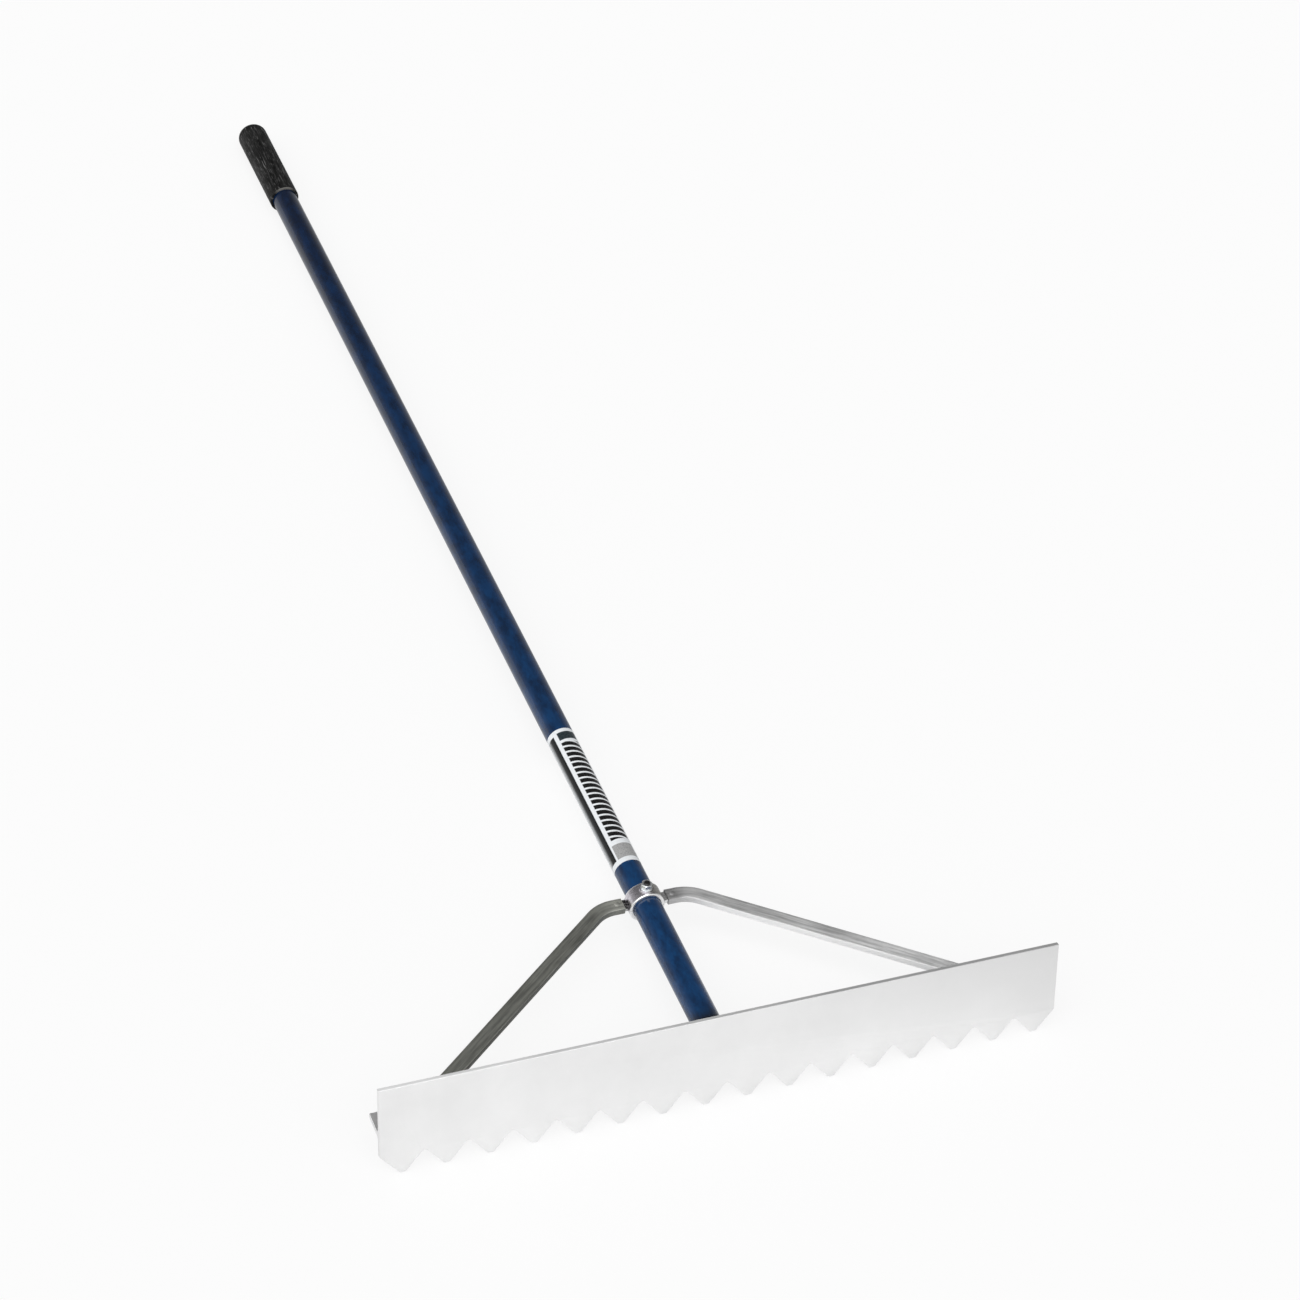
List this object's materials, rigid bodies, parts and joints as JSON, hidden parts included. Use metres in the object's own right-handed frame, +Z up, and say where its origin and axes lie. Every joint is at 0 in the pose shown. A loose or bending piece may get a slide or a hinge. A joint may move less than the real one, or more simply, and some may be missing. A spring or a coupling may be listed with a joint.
{
  "type": "asphalt lute",
  "caption": "Asphalt lute: a long tube handle with a grip, braced square to a wide aluminium head with a straight upper edge and a toothed lower edge.",
  "frame": {"origin": "on the ground, under the middle of the whole tool as it lies on its teeth and its grip's end", "axes": "+Y along the handle from the head to the grip, +X along the head, +Z up from the ground"},
  "size_m": [0.9144, 2.0934, 0.1243],
  "materials": {
    "head": "satin mill finish with fine lines along its length",
    "casting": "as cast, slightly grainy",
    "brace": "satin, drawn lengthwise",
    "strap": "satin with soft edges",
    "fastener": "zinc plated",
    "tube": "smooth dark blue powder coat on aluminium tube",
    "grip": "matt black, fine lengthwise streaks"
  },
  "bodies": {
    "root": {"clamp_bolt": "fastener", "clamp_head_washer": "fastener", "clamp_nut": "fastener", "clamp_nut_washer": "fastener", "clamp_strap_lower": "strap", "clamp_strap_upper": "strap", "cross_bolt": "fastener", "cross_nut": "fastener", "grip": "grip", "handle_foot": "casting", "handle_tube": "tube", "left_brace": "brace", "left_brace_bolt": "fastener", "left_brace_head_washer": "fastener", "left_brace_nut": "fastener", "left_brace_nut_washer": "fastener", "left_brace_rivet": "fastener", "left_foot_bolt": "fastener", "left_foot_nut": "fastener", "left_foot_nut_washer": "fastener", "lute_head": "head", "right_brace": "brace", "right_brace_bolt": "fastener", "right_brace_head_washer": "fastener", "right_brace_nut": "fastener", "right_brace_nut_washer": "fastener", "right_brace_rivet": "fastener", "right_foot_bolt": "fastener", "right_foot_nut": "fastener", "right_foot_nut_washer": "fastener"}
  },
  "joints": []
}
